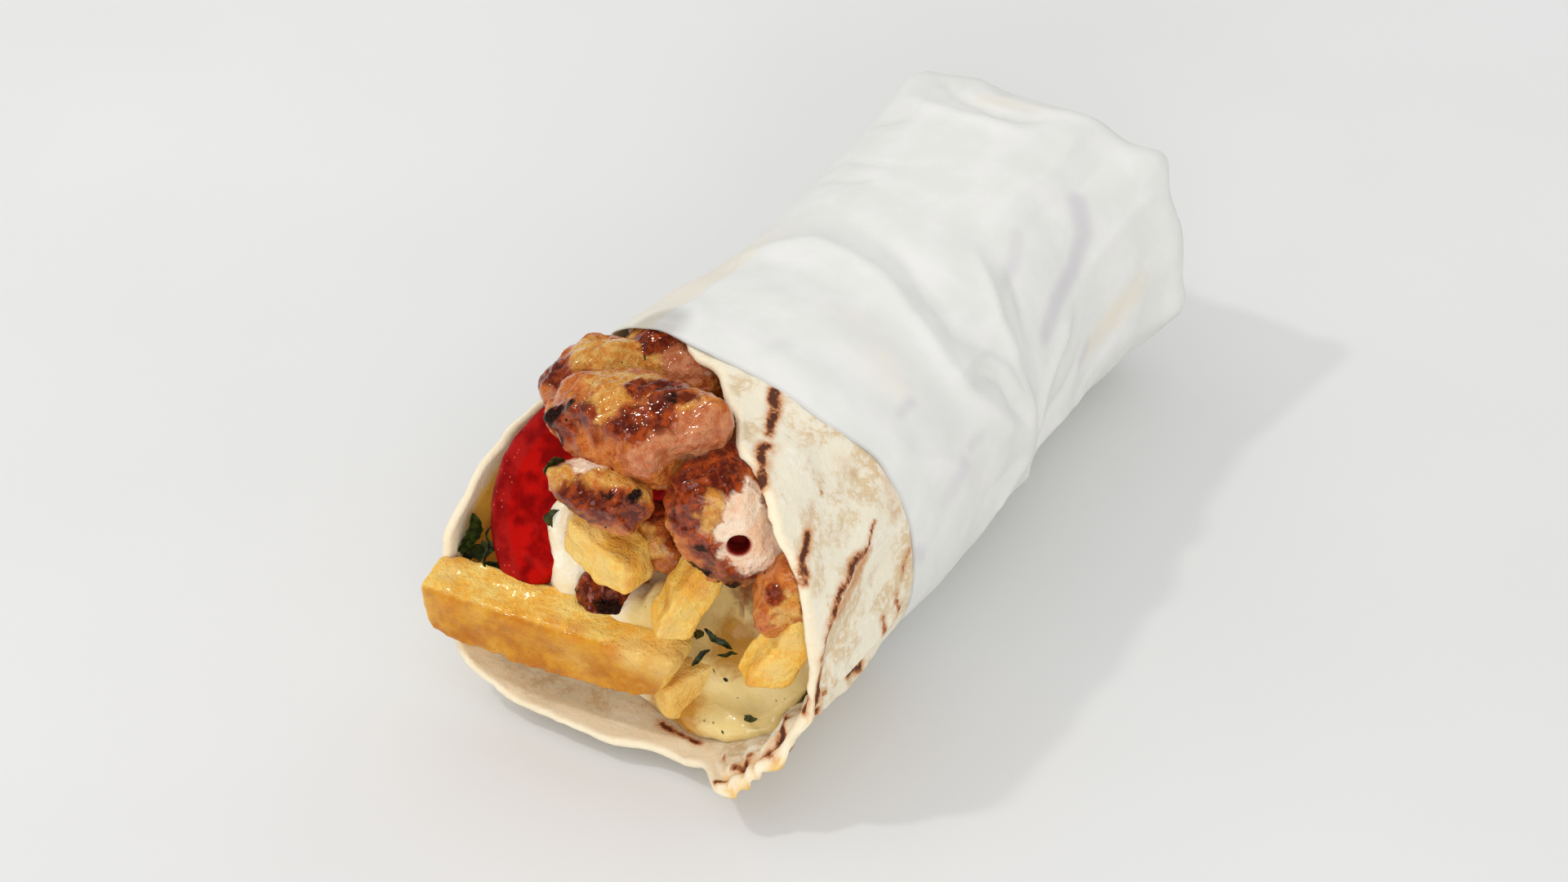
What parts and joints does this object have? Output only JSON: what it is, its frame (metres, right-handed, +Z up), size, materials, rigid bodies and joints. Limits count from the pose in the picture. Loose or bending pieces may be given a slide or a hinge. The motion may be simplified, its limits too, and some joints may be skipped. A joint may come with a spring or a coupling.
{
  "type": "gyro wrap",
  "caption": "Gyro wrap lying on its side: a rolled flatbread open at one end, filled with grilled chicken, fries, tomato and sauce, in a white paper sleeve.",
  "frame": {"origin": "centre of the bounding box's underside, on the surface that the wrap lies on", "axes": "+Y along the roll from the open mouth to the folded tail, +Z up, +X to the right of someone who looks into the mouth along +Y"},
  "size_m": [0.0858, 0.173, 0.0784],
  "materials": {
    "paper": "thin white greaseproof paper, slightly see-through",
    "flatbread": "soft floury flatbread with brown griddle marks",
    "grilled_chicken": "moist, browned and charred in places",
    "fried_potato": "crisp golden crust with a light oily sheen",
    "tomato": "wet, glossy cut flesh",
    "sauce": "smooth, wet yogurt sauce"
  },
  "bodies": {
    "root": {"paper_wrap": "paper", "flatbread": "flatbread", "chicken_top": "grilled_chicken", "chicken_left": "grilled_chicken", "chicken_back": "grilled_chicken", "chicken_low": "grilled_chicken", "chicken_right": "grilled_chicken", "chicken_middle": "grilled_chicken", "chicken_sunk": "grilled_chicken", "chicken_side": "grilled_chicken", "fry_front": "fried_potato", "fry_upper": "fried_potato", "fry_centre": "fried_potato", "fry_right": "fried_potato", "fry_bottom": "fried_potato", "tomato_slice": "tomato", "sauce_filling": "sauce"}
  },
  "joints": []
}
